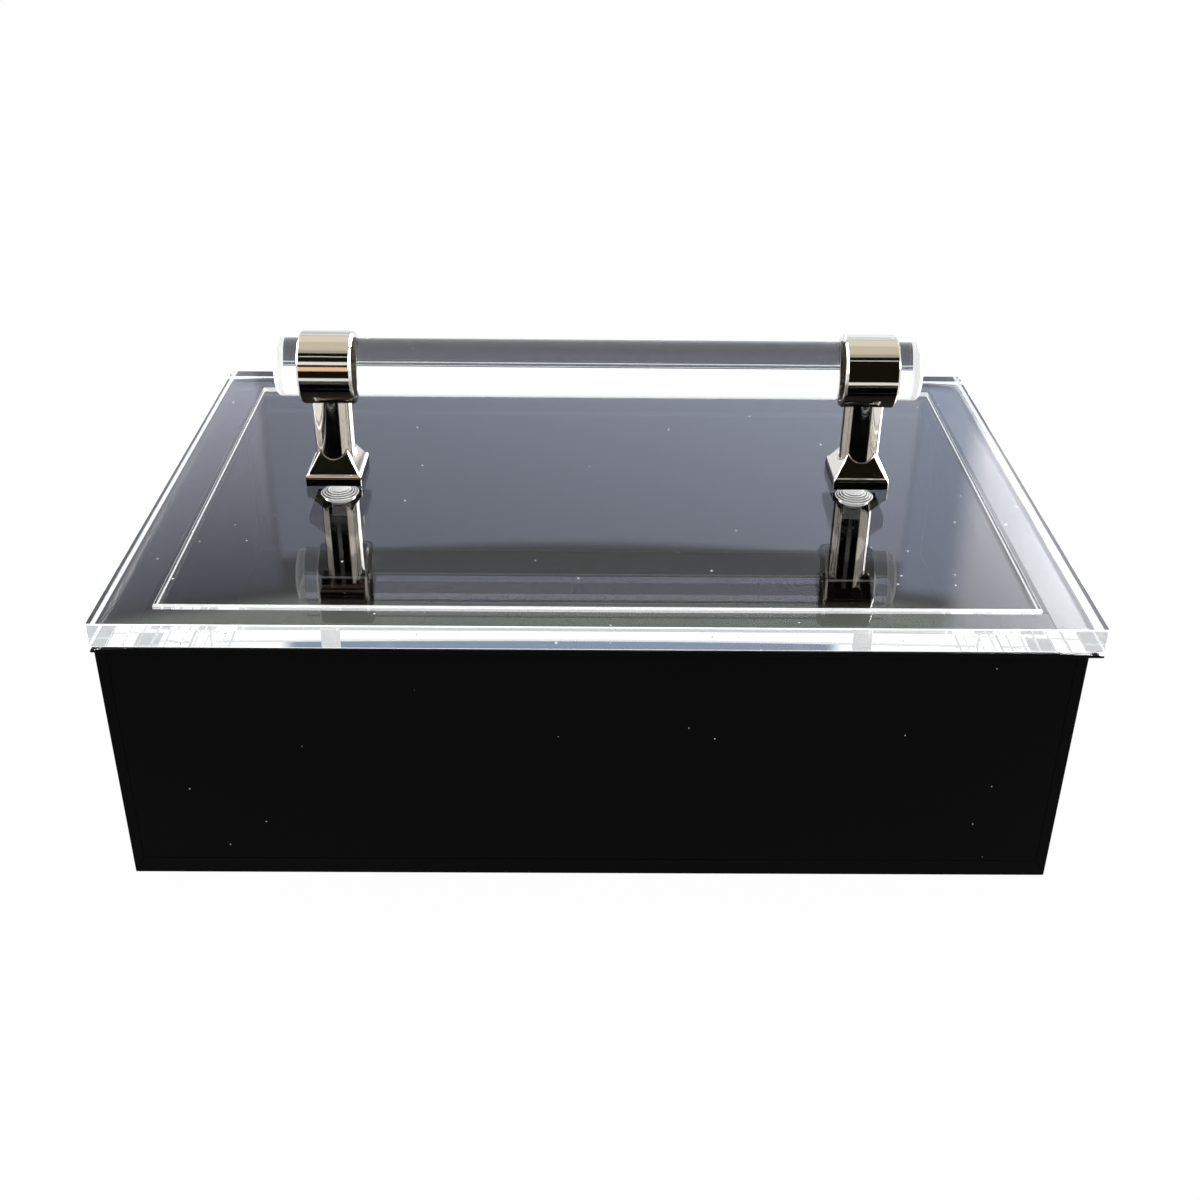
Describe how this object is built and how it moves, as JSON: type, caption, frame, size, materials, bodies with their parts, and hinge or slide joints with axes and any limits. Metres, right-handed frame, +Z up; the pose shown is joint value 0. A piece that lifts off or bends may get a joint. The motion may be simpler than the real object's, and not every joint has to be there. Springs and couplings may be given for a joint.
{
  "type": "acrylic box",
  "caption": "Rectangular black acrylic keepsake box with a thin flange round its mouth and a thick clear lift-off lid carrying a clear bar handle on polished metal posts.",
  "frame": {"origin": "on the standing surface, under the middle of the lid slab", "axes": "+Z up, +X to the right along the long side and the handle, -Y towards the front of the box"},
  "size_m": [0.21, 0.142, 0.103],
  "materials": {
    "satin_black_acrylic": "satin black cast acrylic, glued at its edges",
    "black_frame_acrylic": "thin black acrylic, semi-gloss",
    "clear_acrylic": "clear cast acrylic, polished on its faces and edges",
    "polished_nickel": "polished nickel plate, slightly warm",
    "natural_nylon": "natural nylon, milky and slightly see-through",
    "zinc_plated_steel": "bright zinc plate",
    "blackened_steel": "black oxide"
  },
  "bodies": {
    "box": {"base_panel": "satin_black_acrylic", "front_wall": "satin_black_acrylic", "rear_wall": "satin_black_acrylic", "left_wall": "satin_black_acrylic", "right_wall": "satin_black_acrylic", "frame_strip_front": "black_frame_acrylic", "frame_strip_rear": "black_frame_acrylic", "frame_strip_left": "black_frame_acrylic", "frame_strip_right": "black_frame_acrylic"},
    "lid": {"lid_slab": "clear_acrylic", "locating_plate": "clear_acrylic", "handle_rod": "clear_acrylic", "left_collar": "polished_nickel", "left_grub_screw": "blackened_steel", "left_stem": "polished_nickel", "left_foot": "polished_nickel", "left_washer": "natural_nylon", "left_mount_screw": "zinc_plated_steel", "right_collar": "polished_nickel", "right_grub_screw": "blackened_steel", "right_stem": "polished_nickel", "right_foot": "polished_nickel", "right_washer": "natural_nylon", "right_mount_screw": "zinc_plated_steel"}
  },
  "joints": [
    {"name": "lid_lift", "type": "slide", "parent": "box", "child": "lid", "axis": [0, 0, 1], "range_m": [0, 0.07]}
  ]
}
